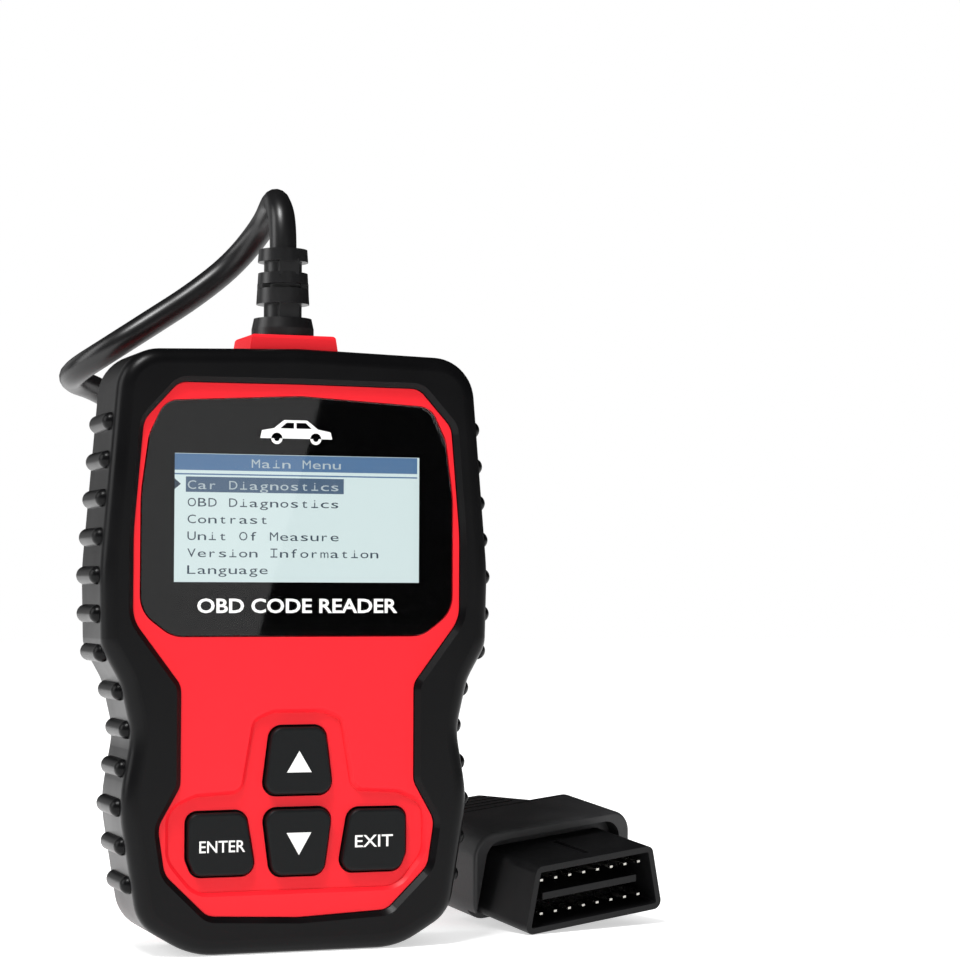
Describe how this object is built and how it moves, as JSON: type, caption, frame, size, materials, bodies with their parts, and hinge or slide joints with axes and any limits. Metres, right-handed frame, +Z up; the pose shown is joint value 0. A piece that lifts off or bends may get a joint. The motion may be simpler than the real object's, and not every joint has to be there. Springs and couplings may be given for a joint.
{
  "type": "obd code reader",
  "caption": "Handheld vehicle diagnostic code reader with a screen and push keys in a rubber boot, and a lead with a diagnostic plug.",
  "frame": {"origin": "middle of the boot's flat foot, on the surface that the handset stands on", "axes": "+Z up along the handset, -Y out of the screen, +X to the right of somebody looking at the screen"},
  "size_m": [0.1384, 0.1516, 0.1683],
  "materials": {
    "boot_rubber": "satin moulded rubber",
    "red_abs": "fine satin red plastic",
    "label_film": "blank printed film",
    "steel_screws": "zinc plated",
    "lens_clear": "clear acrylic",
    "black_print": "black back print",
    "foam_tape": "foam tape",
    "steel_bezel": "black painted steel",
    "lcd_glass": "lcd face",
    "backlight_white": "white moulding",
    "board_green": "solder mask",
    "gold_pins": "plated pins",
    "chip_epoxy": "moulded epoxy",
    "can_metal": "drawn can",
    "ceramic_parts": "ceramic",
    "dome_steel": "steel domes",
    "silicone_grey": "silicone",
    "key_rubber": "soft matte key",
    "relief_pvc": "soft pvc",
    "ivory_nylon": "nylon",
    "wire_pvc": "wire insulation",
    "cord_pvc": "smooth pvc jacket",
    "strap_fabric": "hook and loop strap",
    "plug_overmould": "fine grained overmould",
    "shroud_nylon": "moulded nylon",
    "plated_blades": "plated blades"
  },
  "bodies": {
    "handset": {"rubber_boot": "boot_rubber", "front_shell": "red_abs", "rear_shell": "red_abs", "rear_label": "label_film", "housing_screws": "steel_screws", "screen_lens": "lens_clear", "lens_mask": "black_print", "lens_gasket": "foam_tape", "display_bezel": "steel_bezel", "display_glass": "lcd_glass", "display_backlight": "backlight_white", "main_board": "board_green", "display_pins": "gold_pins", "board_screws": "steel_screws", "processor_chip": "chip_epoxy", "transceiver_chip": "chip_epoxy", "crystal": "can_metal", "voltage_regulator": "chip_epoxy", "capacitors": "can_metal", "chip_components": "ceramic_parts", "dome_switches": "dome_steel", "keypad_mat": "silicone_grey", "strain_relief": "relief_pvc", "cable_header": "ivory_nylon", "cable_socket": "ivory_nylon", "lead_wires": "wire_pvc", "cord_upper": "cord_pvc", "cord_coil": "cord_pvc", "cord_lower": "cord_pvc", "coil_strap": "strap_fabric", "plug_relief": "relief_pvc", "plug_body": "plug_overmould", "plug_shroud": "shroud_nylon", "plug_pins": "plated_blades"},
    "key_up_body": {"key_up": "key_rubber"},
    "key_down_body": {"key_down": "key_rubber"},
    "key_enter_body": {"key_enter": "key_rubber"},
    "key_exit_body": {"key_exit": "key_rubber"}
  },
  "joints": [
    {"name": "key_up_press", "type": "slide", "parent": "handset", "child": "key_up_body", "axis": [0, 1, 0], "range_m": [0, 0.0007], "stiffness_N_per_m": 1500, "springref_m": -0.0002},
    {"name": "key_down_press", "type": "slide", "parent": "handset", "child": "key_down_body", "axis": [0, 1, 0], "range_m": [0, 0.0007], "stiffness_N_per_m": 1500, "springref_m": -0.0002},
    {"name": "key_enter_press", "type": "slide", "parent": "handset", "child": "key_enter_body", "axis": [0, 1, 0], "range_m": [0, 0.0007], "stiffness_N_per_m": 1500, "springref_m": -0.0002},
    {"name": "key_exit_press", "type": "slide", "parent": "handset", "child": "key_exit_body", "axis": [0, 1, 0], "range_m": [0, 0.0007], "stiffness_N_per_m": 1500, "springref_m": -0.0002}
  ]
}
